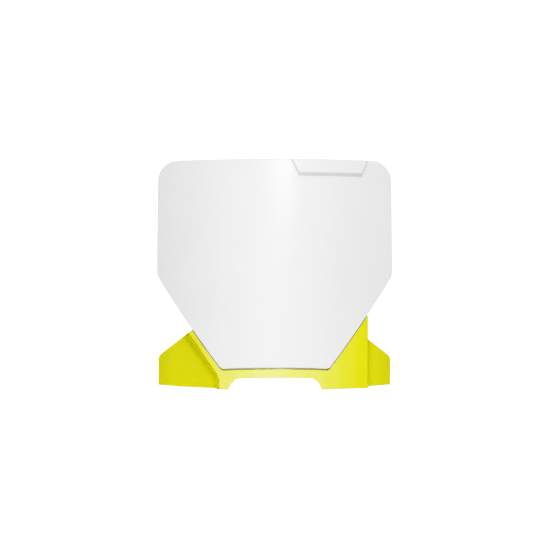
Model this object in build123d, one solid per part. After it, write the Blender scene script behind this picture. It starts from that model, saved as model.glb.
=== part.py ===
from build123d import *
import os
from math import asin, cos, degrees, hypot, radians, sin, sqrt, tan

# Front number board of an off-road motorcycle: a rolled number panel staked to a lower bracket.
# Millimetres and degrees. Seen from the front, +X is right, +Y is back towards the rider and +Z is up.
# The origin is the centre of the screw hole in the tab behind the panel. Heights and drops are from there,
# and depths are from the front of the panel's face.

# Number panel, a sheet rolled about an upright axis
panel_radius = 200.0
panel_thickness = 2.5
panel_top = 60.6
shoulder_drop = 55.4
shoulder_half_width = 120.65
side_lean = 1.5
panel_foot_drop = 149.4
panel_foot_half_width = 54.0
panel_foot_arch = 1.7
top_corner_radius = 20.0
shoulder_radius = 17.0
panel_foot_radius = 4.0
panel_edge_round = 0.8

# Raised pad on the panel's top edge
pad_angle = 16.3
pad_top_width = 82.6
pad_foot_width = 67.2
pad_height = 17.0
pad_rise = 2.4
pad_lean = 0.7
pad_side_run = 2.8
pad_foot_run = 3.9

# Screw tab behind the panel
screw_depth = 38.0
screw_hole_diameter = 6.5
screw_boss_diameter = 16.0
screw_boss_height = 8.0
tab_thickness = 4.0
tab_root_width = 44.0
gusset_thickness = 2.5
gusset_spacing = 24.0
gusset_drop = 34.0

# Seam and lap between the panel and the bracket
bracket_thickness = 2.5
seam_gap = 0.5
seam_foot_gap = 1.5
face_step = 0.6
seat_clearance = 0.15
lap_width = 16.0

# Heat stakes through the lap
stake_diameter = 4.0
stake_hole_clearance = 0.2
stake_head_diameter = 8.0
stake_head_height = 1.8
bar_stake_spacing = 36.0
side_stake_end_margin = 8.0
side_stake_foot_margin = 4.0

# Skirt of the bracket, the band that shows below the panel
skirt_height = 20.4
bar_height = 10.0
notch_half_width = 46.4
notch_top_half_width = 37.0
notch_side_bulge = 1.8
notch_radius = 3.0
leg_margin = 2.2
flange_foot_margin = 8.1
flange_top_margin = 6.7
flange_top_drop = 113.4
side_panel_half_width = 94.5
side_panel_tip_width = 0.8

# Step walls and wings
wall_draft = 17.0
wall_corner_radius = 8.0
wing_setback = 20.5
wing_sweep = 31.0
wing_tip_inset = 0.4
wing_tip_drop = 138.7
wing_tip_radius = 7.0
wing_foot_rise = 0.8
right_wing_drop = 1.0
wing_root_round = 9.0
flange_round = 0.8
side_panel_round = 2.4

# Tongues that hold the board in the mudguard
tongue_width = 7.0
tongue_thickness = 3.0
tongue_length = 26.0
tongue_barb = 2.0
tongue_barb_length = 7.0
tongue_lift = 2.5

# Places worked out from the sizes above
front_y = -screw_depth
axis_y = front_y + panel_radius
shoulder_z = -shoulder_drop
panel_foot_z = -panel_foot_drop
foot_z = panel_foot_z - skirt_height
lap_radius = panel_radius - panel_thickness - seat_clearance
skirt_radius = panel_radius - face_step
panel_top_half_width = shoulder_half_width - side_lean
wing_half_width = shoulder_half_width - wing_tip_inset
leg_x = panel_foot_half_width + leg_margin
slant_run = shoulder_half_width - panel_foot_half_width
slant_rise = shoulder_z - panel_foot_z
slant_length = hypot(slant_run, slant_rise)

# Half the depth of a cutting body: past the board's back, and short of the panel's axis
reach = panel_radius / 2
# How near a corner lies to a face that it is on
touch = 1e-4


def flat_x(x):
    """Distance along the flat sheet of a point that is x from the middle once it is rolled."""
    return panel_radius * asin(x / panel_radius)


def rolled_x(flat):
    return panel_radius * sin(flat / panel_radius)


def face_depth(x, radius):
    """Depth of an upright cylinder of this radius, on the panel's axis, at x."""
    return panel_radius - sqrt(radius**2 - x**2)


def panel_edge_x(z):
    """Half width of the panel on its slanted lower edge, which is straight on the flat sheet."""
    share = (z - panel_foot_z) / (shoulder_z - panel_foot_z)
    low = flat_x(panel_foot_half_width)
    return rolled_x(low + share * (flat_x(shoulder_half_width) - low))


def panel_edge_z(x):
    low = flat_x(panel_foot_half_width)
    share = (flat_x(x) - low) / (flat_x(shoulder_half_width) - low)
    return panel_foot_z + share * (shoulder_z - panel_foot_z)


# Places that follow from the panel's slanted edges
flange_top_z = -flange_top_drop
flange_top_x = panel_edge_x(flange_top_z) + flange_top_margin
wing_top_slope = (wing_tip_drop - flange_top_drop) / (wing_half_width - flange_top_x)
seam_drop = seam_gap * slant_length / slant_run
side_panel_tip_z = panel_edge_z(side_panel_half_width - side_panel_tip_width) - seam_drop
fold_y = front_y + face_depth(side_panel_half_width, skirt_radius)


def polygon(points):
    return make_face(Polyline(*points, close=True))


def prism(face):
    """Front view carried through the whole depth of the board."""
    return extrude(Plane.XZ * face, amount=reach, both=True)


def inside(radius):
    """Everything behind the face of this radius."""
    return Pos(0, axis_y, 0) * Cylinder(radius, -4 * foot_z)


def shell(outer, inner):
    return inside(outer) - inside(inner)


def tall(face):
    """Plan view carried through the whole height of the board."""
    return extrude(face, amount=-2 * foot_z, both=True)


def side_prism(points, x, width):
    """Side view, drawn in depth and height, carried across a width about x."""
    return extrude(Plane.YZ.offset(x) * polygon(points), amount=width / 2, both=True)


def panel_outline(lower=0):
    """Front view of the panel, or of one whose slanted edges run on to a lower foot."""
    low_z = panel_foot_z - lower
    low_x = panel_edge_x(low_z)
    slant_mid_z = (shoulder_z + low_z) / 2
    slant_mid_x = panel_edge_x(slant_mid_z)
    top_left = (-panel_top_half_width, panel_top)
    top_right = (panel_top_half_width, panel_top)
    left = (-shoulder_half_width, shoulder_z)
    right = (shoulder_half_width, shoulder_z)
    foot_left = (-low_x, low_z)
    foot_right = (low_x, low_z)
    edges = [
        Line(top_left, top_right),
        Line(top_right, right),
        ThreePointArc(right, (slant_mid_x, slant_mid_z), foot_right),
        ThreePointArc(foot_right, (0, low_z + panel_foot_arch), foot_left),
        ThreePointArc(foot_left, (-slant_mid_x, slant_mid_z), left),
        Line(left, top_left),
    ]
    face = make_face(edges)
    for height, radius in (
        (panel_top, top_corner_radius),
        (shoulder_z, shoulder_radius),
        (low_z, panel_foot_radius),
    ):
        corners = [v for v in face.vertices() if abs(v.Y - height) < touch]
        face = fillet(corners, radius)
    return face


def pad_point(across, z, rise):
    """Point on the panel's face, or above it, at a distance across from the pad's middle."""
    turn = radians(pad_angle) + asin(across / panel_radius)
    radius = panel_radius + rise
    return Vector(radius * sin(turn), axis_y - radius * cos(turn), z)


def raised_pad():
    """Pad on the panel's face: a section turned about the panel's axis, with slanted ends."""
    foot = panel_top - pad_height
    root = panel_radius - panel_thickness / 2
    section = [
        (axis_y - root, foot),
        (axis_y - panel_radius, foot),
        (axis_y - panel_radius - pad_rise, foot + pad_foot_run),
        (axis_y - panel_radius - pad_rise + pad_lean, panel_top),
        (axis_y - root, panel_top),
    ]
    spread = 2 * degrees(asin(pad_top_width / panel_radius))
    axis = Axis((0, axis_y, 0), (0, 0, 1))
    start = Plane.YZ * polygon(section)
    pad = revolve(start.rotate(axis, pad_angle - spread / 2), axis, spread)
    for side in (-1, 1):
        foot_end = pad_point(side * pad_foot_width / 2, foot, 0)
        top_end = pad_point(side * pad_top_width / 2, panel_top, 0)
        crest = pad_point(side * (pad_foot_width / 2 - pad_side_run), foot, pad_rise)
        outward = (top_end - foot_end).cross(crest - foot_end) * side
        pad = split(pad, Plane(foot_end, z_dir=outward), keep=Keep.BOTTOM)
    return pad


def screw_tab():
    """Shelf behind the panel with a boss round the screw hole and two gussets under it."""
    root_line = Line((-tab_root_width / 2, front_y), (tab_root_width / 2, front_y))
    shelf_face = make_hull([root_line, *Circle(screw_boss_diameter / 2).edges()])
    tab = extrude(shelf_face, amount=tab_thickness / 2, both=True)
    tab += Cylinder(screw_boss_diameter / 2, screw_boss_height)
    gusset = [
        (front_y, 0),
        (0, 0),
        (0, -tab_thickness / 2),
        (front_y, -tab_thickness / 2 - gusset_drop),
    ]
    for side in (-1, 1):
        tab += side_prism(gusset, side * gusset_spacing / 2, gusset_thickness)
    tab -= Cylinder(screw_hole_diameter / 2, 2 * screw_boss_height + gusset_drop)
    return tab & inside(panel_radius - panel_thickness / 2)


def stake_places():
    """Middle of the lap: three places along the panel's foot and two up each slanted edge."""
    middle_z = panel_foot_z + panel_foot_arch + lap_width / 2
    places = [(step * bar_stake_spacing, middle_z) for step in (-1, 0, 1)]
    in_x = lap_width / 2 * slant_rise / slant_length
    in_z = lap_width / 2 * slant_run / slant_length
    high_z = flange_top_z - side_stake_end_margin
    low_z = (high_z + panel_foot_z + side_stake_foot_margin) / 2
    for z in (low_z, high_z):
        x = panel_edge_x(z - in_z) - in_x
        places += [(-x, z), (x, z)]
    return places


def stake(x, z):
    """Pin moulded on the panel's back, with the domed head that is melted over behind the lap."""
    head_seat = lap_radius - bracket_thickness - seat_clearance
    pin = prism(Pos(x, z) * Circle(stake_diameter / 2))
    pin &= shell(panel_radius - panel_thickness / 2, head_seat - stake_head_height / 2)
    dome_radius = ((stake_head_diameter / 2) ** 2 + stake_head_height**2) / (2 * stake_head_height)
    turn = asin(x / head_seat)
    away = head_seat - stake_head_height + dome_radius
    dome = Pos(away * sin(turn), axis_y - away * cos(turn), z) * Sphere(dome_radius)
    return pin + (dome & inside(head_seat))


def number_panel():
    panel = prism(panel_outline()) & shell(panel_radius, panel_radius - panel_thickness)
    front = panel.faces().filter_by(GeomType.CYLINDER).sort_by(Axis.Y)[0]
    panel = fillet(front.edges(), panel_edge_round)
    panel += raised_pad()
    panel += screw_tab()
    for place in stake_places():
        panel += stake(*place)
    return panel


def wing_y(x, behind=0):
    """Depth, in the board's frame, of a wing's face or of a plane behind it."""
    run = (x - leg_x) * tan(radians(wing_sweep))
    return front_y + wing_setback + run + behind / cos(radians(wing_sweep))


def wing_top_z(x, side=-1):
    """Height of the line that trims a wing, seen from the front. On the left it trims the flange as well."""
    line = -wing_tip_drop + (wing_half_width - x) * wing_top_slope
    return line if side < 0 else line - right_wing_drop


def wing_outline(side, inner_x):
    """Front view of one wing from inner_x out to its tip, side being -1 on the left and 1 on the right."""
    tip = (side * wing_half_width, wing_top_z(wing_half_width, side))
    corners = [
        (side * inner_x, foot_z),
        (side * wing_half_width, foot_z),
        tip,
        (side * inner_x, wing_top_z(inner_x, side)),
    ]
    face = polygon(corners)
    return fillet(face.vertices().sort_by_distance(tip)[0], wing_tip_radius)


def wing_foot_trim(side):
    """Front view of the sliver under a wing, whose foot rises a little towards its tip."""
    inner_x = side_panel_half_width
    far_x = 2 * wing_half_width
    rise = wing_foot_rise * (far_x - inner_x) / (wing_half_width - inner_x)
    corners = [
        (side * inner_x, foot_z),
        (side * far_x, foot_z + rise),
        (side * far_x, foot_z - skirt_height),
        (side * inner_x, foot_z - skirt_height),
    ]
    return polygon(corners)


def behind_left_wing(behind):
    """Everything behind the left wing's face, or behind a plane further back, from the leg outwards."""
    far_x = 2 * wing_half_width
    corners = [
        (-notch_half_width, wing_y(notch_half_width, behind)),
        (-far_x, wing_y(far_x, behind)),
        (-far_x, 2 * reach),
        (-notch_half_width, 2 * reach),
    ]
    return tall(polygon(corners))


def left_core(inset):
    """Solid within the left step wall: a leg line and a flange line that lean out towards the back."""
    lean = tan(radians(wall_draft))
    back_depth = wing_y(flange_top_x, 4 * bracket_thickness) - front_y
    foot_x = panel_foot_half_width + flange_foot_margin
    length = hypot(flange_top_x - foot_x, flange_top_z - panel_foot_z)
    along = Vector(foot_x - flange_top_x, flange_top_z - panel_foot_z) / length
    outward = Vector(-along.Y, along.X)
    leg_back = -leg_x - (back_depth - face_depth(leg_x, skirt_radius)) * lean
    low = Vector(-foot_x, panel_foot_z) + outward * (back_depth - face_depth(foot_x, skirt_radius)) * lean
    top_lean = (back_depth - face_depth(flange_top_x, skirt_radius)) * lean
    high = Vector(-flange_top_x, flange_top_z) + outward * top_lean
    share = (leg_back - low.X) / (high.X - low.X)
    bend = low + (high - low) * share
    top = low + (high - low) * (reach / length + 1)
    corners = [
        (leg_back, foot_z - reach),
        (bend.X, bend.Y),
        (top.X, top.Y),
        (top.X, panel_top),
        (2 * wing_half_width, panel_top),
        (2 * wing_half_width, foot_z - reach),
    ]
    face = polygon(corners)
    face = fillet(face.vertices().sort_by_distance((bend.X, bend.Y))[0], wall_corner_radius)
    if inset:
        face = offset(face, -inset)
    back = Plane((0, front_y + back_depth, 0), x_dir=(1, 0, 0), z_dir=(0, -1, 0))
    return extrude(back * face, amount=back_depth + screw_depth / 2, taper=wall_draft)


def left_body(inset, behind, root_round):
    """Solid within the left step wall and behind the wing, with a round in the corner between them."""
    top = flange_top_z + 2 * bracket_thickness
    foot = foot_z - lap_width
    slab = Pos(0, 0, (top + foot) / 2) * Box(8 * wing_half_width, 8 * reach, top - foot)
    body = (left_core(inset) + behind_left_wing(behind)) & slab
    roots = []
    for edge in body.edges():
        middle = edge.center()
        on_wing = all(abs(v.Y - wing_y(-v.X, behind)) < touch for v in edge.vertices())
        if on_wing and foot + touch < middle.Z < top - touch and -middle.X < 2 * wing_half_width - touch:
            roots.append(edge)
    return fillet(roots, root_round)


def skirt_blank():
    """Front view of the skirt with its notch, before the panel's place is taken out of it."""
    bar_foot = panel_foot_z + panel_foot_arch - bar_height
    bar_end = bar_foot - panel_foot_arch * (notch_top_half_width / panel_foot_half_width) ** 2
    corners = [
        (-wing_half_width, foot_z),
        (side_panel_half_width, foot_z),
        (side_panel_half_width, side_panel_tip_z),
        (-panel_foot_half_width, wing_top_z(panel_foot_half_width)),
        (-wing_half_width, -wing_tip_drop),
    ]
    top_left, top_right = (-notch_top_half_width, bar_end), (notch_top_half_width, bar_end)
    foot_left, foot_right = (-notch_half_width, foot_z), (notch_half_width, foot_z)
    notch = make_face(
        [
            ThreePointArc(top_left, (0, bar_foot), top_right),
            SagittaArc(top_right, foot_right, notch_side_bulge),
            Line(foot_right, foot_left),
            SagittaArc(foot_left, top_left, notch_side_bulge),
        ]
    )
    notch = fillet([v for v in notch.vertices() if abs(v.Y - bar_end) < touch], notch_radius)
    return polygon(corners) - notch


def tongue(side):
    """Barbed tongue behind a leg, which slips under the back edge of the mudguard."""
    x = side * (notch_half_width + leg_x) / 2
    start = front_y
    end = front_y + face_depth(abs(x), skirt_radius) + tongue_length
    low = foot_z + tongue_lift
    top = low + tongue_thickness
    corners = [
        (start, low),
        (end, low),
        (end, top),
        (end - tongue_barb_length, top + tongue_barb),
        (end - tongue_barb_length, top),
        (start, top),
    ]
    return side_prism(corners, x, tongue_width) & inside(skirt_radius - bracket_thickness / 2)


def on_skirt_face(edge):
    return all(abs(hypot(v.X, v.Y - axis_y) - skirt_radius) < touch for v in edge.vertices())


def left_fold_edges(bracket):
    """Edges where the skirt's face folds back into the left step wall."""
    edges = []
    for edge in bracket.edges().filter_by(on_skirt_face):
        middle = edge.center()
        inner_x = leg_x - touch
        if middle.Z > panel_foot_z:
            inner_x = panel_edge_x(middle.Z) + flange_top_margin / 2
        on_wall = foot_z + touch < middle.Z < wing_top_z(-middle.X) - seam_gap
        if on_wall and inner_x < -middle.X:
            edges.append(edge)
    return edges


def plan_to_fold():
    """Plan view of all behind the skirt's face and left of the right step wall, with the fold rounded."""
    disc = Pos(0, axis_y) * Circle(skirt_radius)
    left = Pos(side_panel_half_width - panel_radius, front_y) * Rectangle(2 * panel_radius, 2 * panel_radius)
    face = disc & left
    fold = (side_panel_half_width, fold_y)
    return fillet(face.vertices().sort_by_distance(fold)[0], side_panel_round)


def right_wing():
    """Right step wall and wing: one wall bent at the wing's root, drawn in plan and trimmed."""
    wall_x = side_panel_half_width
    inner_x = wall_x - bracket_thickness
    far_x = 2 * wing_half_width
    root = (wall_x, wing_y(wall_x))
    back = (inner_x, wing_y(inner_x, bracket_thickness))
    corners = [
        (wall_x, front_y),
        root,
        (far_x, wing_y(far_x)),
        (far_x, wing_y(far_x, bracket_thickness)),
        back,
        (inner_x, front_y),
    ]
    face = polygon(corners)
    for corner, radius in ((root, wing_root_round), (back, wing_root_round + bracket_thickness)):
        face = fillet(face.vertices().sort_by_distance(corner)[0], radius)
    behind_y = fold_y + 2 * side_panel_round + reach
    behind_fold = Pos(wall_x, behind_y) * Rectangle(4 * wing_half_width, 2 * reach)
    strip = tall(face & (plan_to_fold() + behind_fold))

    web = [
        (front_y, foot_z),
        (reach, foot_z),
        (reach, wing_top_z(wall_x, 1)),
        (wing_y(wall_x), wing_top_z(wall_x, 1)),
        (fold_y, side_panel_tip_z),
        (front_y, side_panel_tip_z),
    ]
    wall_trim = side_prism(web, wall_x - lap_width / 2, lap_width)
    return strip & (wall_trim + prism(wing_outline(1, wall_x)))


def lower_bracket():
    outline = panel_outline()
    clear_of_panel = offset(panel_outline(seam_foot_gap - seam_gap), seam_gap)
    blank = skirt_blank()
    outer = left_body(0, 0, wing_root_round)
    wall = bracket_thickness / cos(radians(wall_draft))
    inner = left_body(wall, bracket_thickness, wing_root_round + bracket_thickness)

    skirt = prism(blank - clear_of_panel) & (tall(plan_to_fold()) - inside(skirt_radius - bracket_thickness))

    ring = offset(outline, seam_foot_gap + bracket_thickness) - offset(outline, -lap_width)
    lap = prism(ring & blank) & shell(lap_radius, lap_radius - bracket_thickness)
    bracket = (skirt + lap) & left_core(0)
    bracket += (outer - inner) & inside(skirt_radius) & prism(wing_outline(-1, notch_half_width))
    bracket = fillet(left_fold_edges(bracket), flange_round)

    bracket += right_wing() - prism(clear_of_panel)
    for side in (-1, 1):
        bracket -= prism(wing_foot_trim(side))
        bracket += tongue(side)
    hole_radius = stake_diameter / 2 + stake_hole_clearance
    for x, z in stake_places():
        bracket -= prism(Pos(x, z) * Circle(hole_radius))
    return bracket


os.makedirs("parts", exist_ok=True)
export_step(number_panel(), "parts/number_panel.step")
export_step(lower_bracket(), "parts/lower_bracket.step")
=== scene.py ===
import math

import bpy
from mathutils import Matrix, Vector

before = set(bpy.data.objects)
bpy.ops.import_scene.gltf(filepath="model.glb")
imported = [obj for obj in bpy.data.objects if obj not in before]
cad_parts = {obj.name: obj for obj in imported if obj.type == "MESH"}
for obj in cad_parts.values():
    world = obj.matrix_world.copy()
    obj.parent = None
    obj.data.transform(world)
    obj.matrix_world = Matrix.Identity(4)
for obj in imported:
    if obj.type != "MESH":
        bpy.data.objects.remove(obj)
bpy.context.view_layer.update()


# Number panel: the white sheet that carries the race number, with the raised pad on its top edge.
# It is one injection moulding in white polypropylene, polished in front and left satin behind.
# Its stakes are melted over behind the bracket, and one screw in its tab holds it to the fork clamp.
class Tone:
    """A value in a node tree. Arithmetic on it adds Math nodes, and node() adds any other."""

    def __init__(self, tree, socket=None):
        self.tree = tree
        self.socket = socket

    def node(self, kind, settings, sockets, out=0):
        """Adds a node: its settings first, then the values or links of its sockets, by name or number."""
        made = self.tree.nodes.new(kind)
        for name, value in settings.items():
            setattr(made, name, value)
        for name, value in sockets.items():
            if isinstance(value, Tone):
                self.tree.links.new(value.socket, made.inputs[name])
            else:
                made.inputs[name].default_value = value
        return Tone(self.tree, made.outputs[out] if made.outputs else None)

    def math(self, operation, *values):
        return self.node("ShaderNodeMath", {"operation": operation}, dict(enumerate(values)))

    def __add__(self, other):
        return self.math("ADD", self, other)

    def __radd__(self, other):
        return self.math("ADD", other, self)

    def __sub__(self, other):
        return self.math("SUBTRACT", self, other)

    def __rsub__(self, other):
        return self.math("SUBTRACT", other, self)

    def __mul__(self, other):
        return self.math("MULTIPLY", self, other)

    def __rmul__(self, other):
        return self.math("MULTIPLY", other, self)

    def noise(self, place, size, detail):
        """Cloudy value from 0 to 1, with lumps of about this size, in metres."""
        sockets = {"Vector": place, "Scale": 1 / size, "Detail": detail}
        return self.node("ShaderNodeTexNoise", {}, sockets)

    def between(self, low, high):
        """0 below low, 1 above high and smooth between them."""
        settings = {"interpolation_type": "SMOOTHSTEP"}
        return self.node("ShaderNodeMapRange", settings, {0: self, 1: low, 2: high})

    def blend(self, first, second):
        """First colour where the value is 0, and the second where it is 1."""
        return self.node("ShaderNodeMix", {"data_type": "RGBA"}, {0: self, 6: first, 7: second}, out=2)


def new_tree(name):
    """A new material, and the start of its empty node tree."""
    material = bpy.data.materials.new(name)
    material.use_nodes = True
    material.node_tree.nodes.clear()
    return material, Tone(material.node_tree)


front_turn = (-0.1, 0.1)
cloud_size = 0.040
cloud_detail = 2.0
cloud_span = (0.3, 0.7)
rub_size = 0.012
rub_detail = 4.0
rub_middle = 0.5
rub_strength = 0.06
grain_size = 0.0006
grain_detail = 3.0
front_grain = 0.000002
back_grain = 0.000012
# Painted shade in seams and creases: how far the occlusion looks, where the colour turns dark, and its
# samples.
seam_depth = 0.003
painted_shade_span = (0.15, 0.75)
seam_samples = 12
edge_samples = 6
plastic_ior = 1.60
plastic_specular = 1.0


def moulded(name, colours, painted_shade_tone, polished, satin, edge_round, tips=None):
    """Moulded plastic: polished on the faces that look forwards, satin on those that look back.

    The tips give how far to the sides the painted shade starts and ends, and the darker tone painted at
    their ends, in place of the shade that falls on the wing tips.
    """
    material, tone = new_tree(name)
    place = tone.node("ShaderNodeTexCoord", {}, {}, out="Object")
    facing = tone.node("ShaderNodeNewGeometry", {}, {}, out="Normal")
    backwards = tone.node("ShaderNodeSeparateXYZ", {}, {0: facing}, out="Y")
    front = 1 - backwards.between(*front_turn)

    clouds = tone.noise(place, cloud_size, cloud_detail)
    colour = clouds.between(*cloud_span).blend(*colours)
    # Painted shade: the colour is made darker towards the ends of the piece, in place of the shade that
    # falls on the wing tips.
    if tips:
        reach, tip_painted_shade = tips
        sideways = tone.node("ShaderNodeSeparateXYZ", {}, {0: place}, out="X")
        colour = sideways.math("ABSOLUTE", sideways).between(*reach).blend(colour, tip_painted_shade)
    # Painted shade: the colour is blended towards a dark tone where nearby surfaces hem a point in, in
    # the seams between panel and bracket and in creases, in place of the shade that falls there.
    seam = {"Distance": seam_depth}
    open_air = tone.node("ShaderNodeAmbientOcclusion", {"samples": seam_samples}, seam, out="AO")
    colour = open_air.between(*painted_shade_span).blend(painted_shade_tone, colour)

    rubs = tone.noise(place, rub_size, rub_detail)
    roughness = front * polished + (1 - front) * satin + (rubs - rub_middle) * rub_strength

    grain = tone.noise(place, grain_size, grain_detail)
    height = grain * (back_grain - front * (back_grain - front_grain))
    rounded = tone.node("ShaderNodeBevel", {"samples": edge_samples}, {"Radius": edge_round})
    relief = {"Strength": 1.0, "Distance": 1.0, "Height": height, "Normal": rounded}
    bump = tone.node("ShaderNodeBump", {}, relief)

    finish = {
        "Base Color": colour,
        "Roughness": roughness,
        "Normal": bump,
        "IOR": plastic_ior,
        "Specular IOR Level": plastic_specular,
    }
    shader = tone.node("ShaderNodeBsdfPrincipled", {}, finish)
    tone.node("ShaderNodeOutputMaterial", {}, {"Surface": shader})
    return material


white_tones = ((0.81, 0.81, 0.815, 1), (0.83, 0.83, 0.83, 1))
# Painted shade: the dark tone put into the white panel's seams and creases.
white_painted_shade = (0.60, 0.60, 0.58, 1)
white_plastic = moulded(
    "white_moulding", white_tones, white_painted_shade, polished=0.20, satin=0.50, edge_round=0.0015
)
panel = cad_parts["number_panel"]
panel.data.materials.clear()
panel.data.materials.append(white_plastic)


# Lower bracket: the yellow skirt under the panel, with its step walls, swept wings and two tongues.
# It is one injection moulding in fluorescent yellow polypropylene with a glossy face, and its colour is
# painted darker towards the thin wing tips, as painted shade. Its lap lies behind the panel's edge, where
# the stakes hold it.
yellow_tones = ((0.755, 0.73, 0.0, 1), (0.775, 0.745, 0.001, 1))
# Painted shade on the wing tips: where it starts and ends to the sides, and its darker tone.
yellow_tip_reach = (0.102, 0.120)
yellow_tip_painted_shade = (0.67, 0.645, 0.0, 1)
yellow_painted_tip_shade = (yellow_tip_reach, yellow_tip_painted_shade)
# Painted shade: the dark tone put into the yellow bracket's seams and creases.
yellow_painted_shade = (0.14, 0.13, 0.0, 1)
yellow_plastic = moulded(
    "yellow_moulding", yellow_tones, yellow_painted_shade, polished=0.12, satin=0.45, edge_round=0.0012,
    tips=yellow_painted_tip_shade,
)
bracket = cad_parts["lower_bracket"]
bracket.data.materials.clear()
bracket.data.materials.append(yellow_plastic)


# Floor: a plain pale sheet of paper well below the board.
# It fades out into the white surroundings, so that no edge of it is seen.
floor_z = -0.45
floor_radius = 1.2
floor_corners = 96
floor_fade = (0.15, 0.48)
floor_tone = (0.85, 0.85, 0.85, 1)
bpy.ops.mesh.primitive_circle_add(
    vertices=floor_corners, radius=floor_radius, fill_type="NGON", location=(0, 0, floor_z)
)
floor = bpy.context.object
floor.name = "floor"

floor_paper, tone = new_tree("floor_paper")
place = tone.node("ShaderNodeTexCoord", {}, {}, out="Object")
reach = tone.node("ShaderNodeVectorMath", {"operation": "LENGTH"}, {0: place}, out="Value")
paper = tone.node("ShaderNodeBsdfDiffuse", {}, {"Color": floor_tone})
clear = tone.node("ShaderNodeBsdfTransparent", {}, {})
faded = tone.node("ShaderNodeMixShader", {}, {0: reach.between(*floor_fade), 1: paper, 2: clear})
tone.node("ShaderNodeOutputMaterial", {}, {"Surface": faded})
floor.data.materials.append(floor_paper)


# Surroundings: white to the eye. As a source of light they are a dim dome, brightest ahead at both sides,
# which only the flat share of a surface's look receives, so that the gloss mirrors the softboxes alone.
white_level = 2.5
above_level = 0.64
below_level = 0.06
left_level = 5.1
right_level = 5.6
upper_span = (-0.3, 0.9)
side_span = (0.3, 1.0)
ahead_span = (-0.2, 0.6)
world = bpy.data.worlds.new("white_room")
bpy.context.scene.world = world
world.cycles.sampling_method = "NONE"
world.use_nodes = True
world.node_tree.nodes.clear()
tone = Tone(world.node_tree)
seen = tone.node("ShaderNodeLightPath", {}, {}, out="Is Camera Ray")
soft = tone.node("ShaderNodeLightPath", {}, {}, out="Is Diffuse Ray")
way = tone.node("ShaderNodeTexCoord", {}, {}, out="Generated")
across = tone.node("ShaderNodeSeparateXYZ", {}, {0: way}, out="X")
ahead = (-1 * tone.node("ShaderNodeSeparateXYZ", {}, {0: way}, out="Y")).between(*ahead_span)
upwards = tone.node("ShaderNodeSeparateXYZ", {}, {0: way}, out="Z").between(*upper_span)
sides = (-1 * across).between(*side_span) * left_level + across.between(*side_span) * right_level
dome = below_level + upwards * (above_level - below_level + sides * ahead)
strength = seen * white_level + soft * dome
sky = tone.node("ShaderNodeBackground", {}, {"Color": (1, 1, 1, 1), "Strength": strength})
tone.node("ShaderNodeOutputWorld", {}, {"Surface": sky})


# Softboxes: a wide one behind the camera, in layers that add up to a brighter middle, and a small bright
# one above it. The gloss mirrors these two. A near one above lights the upper right corner of the board,
# and one stands behind it.
def softbox(name, place, aim, width, height, level):
    """Area light whose face has this brightness."""
    light = bpy.data.lights.new(name, "AREA")
    light.shape = "RECTANGLE"
    light.size = width
    light.size_y = height
    light.energy = level * math.pi * width * height
    lamp = bpy.data.objects.new(name, light)
    lamp.location = place
    lamp.rotation_euler = (Vector(aim) - Vector(place)).to_track_quat("-Z", "Y").to_euler()
    lamp.visible_camera = False
    bpy.context.scene.collection.objects.link(lamp)


middle = (0, -0.03, -0.055)
upper_corner = (0.09, -0.03, 0.03)
front_aim = (-0.12, 0, 0.08)
front_away = 1.90
front_height = 1.1
layer_step = 0.01
front_layers = ((10, 0.72), (22, 0.55), (34, 0.78), (44, 0.55), (54, 0.24))
for layer, (half_angle, level) in enumerate(front_layers):
    away = front_away + layer * layer_step
    place = (front_aim[0], -away, front_aim[2])
    width = 2 * away * math.tan(math.radians(half_angle))
    softbox("front_softbox", place, front_aim, width, front_height, level)
softbox("top_softbox", place=(0.19, -1.88, 0.36), aim=middle, width=0.40, height=0.34, level=11.0)
softbox("key_softbox", place=(0.14, -0.33, 0.46), aim=upper_corner, width=0.3, height=0.3, level=2.6)
softbox("back_softbox", place=(0.3, 1.8, 0.7), aim=middle, width=1.6, height=1.2, level=4.6)


# Camera: level, a little left of the board's middle, as far away as the photo's perspective shows.
# Its film leaves the middle tones as they are and rolls the brightest ones off softly, as in the photo.
camera_place = (-0.0195, -1.438, -0.0552)
camera_turn = -0.013715
camera_sensor = 36.0
camera_lens = 92.095
camera_data = bpy.data.cameras.new("camera")
camera_data.sensor_width = camera_sensor
camera_data.lens = camera_lens
camera = bpy.data.objects.new("camera", camera_data)
camera.location = camera_place
camera.rotation_euler = (math.pi / 2, 0, camera_turn)
bpy.context.scene.collection.objects.link(camera)
bpy.context.scene.camera = camera

film_white = 2.0
film_tones = (
    (0.35, 0.35), (0.70, 0.70), (0.80, 0.785), (1.0, 0.85), (1.12, 0.879), (1.4, 0.94), (1.8, 0.99),
)
all_colours = 3
view = bpy.context.scene.view_settings
view.view_transform = "Standard"
view.use_curve_mapping = True
film = view.curve_mapping
film.white_level = (film_white, film_white, film_white)
for bright, shown in film_tones:
    film.curves[all_colours].points.new(bright / film_white, shown)
film.update()
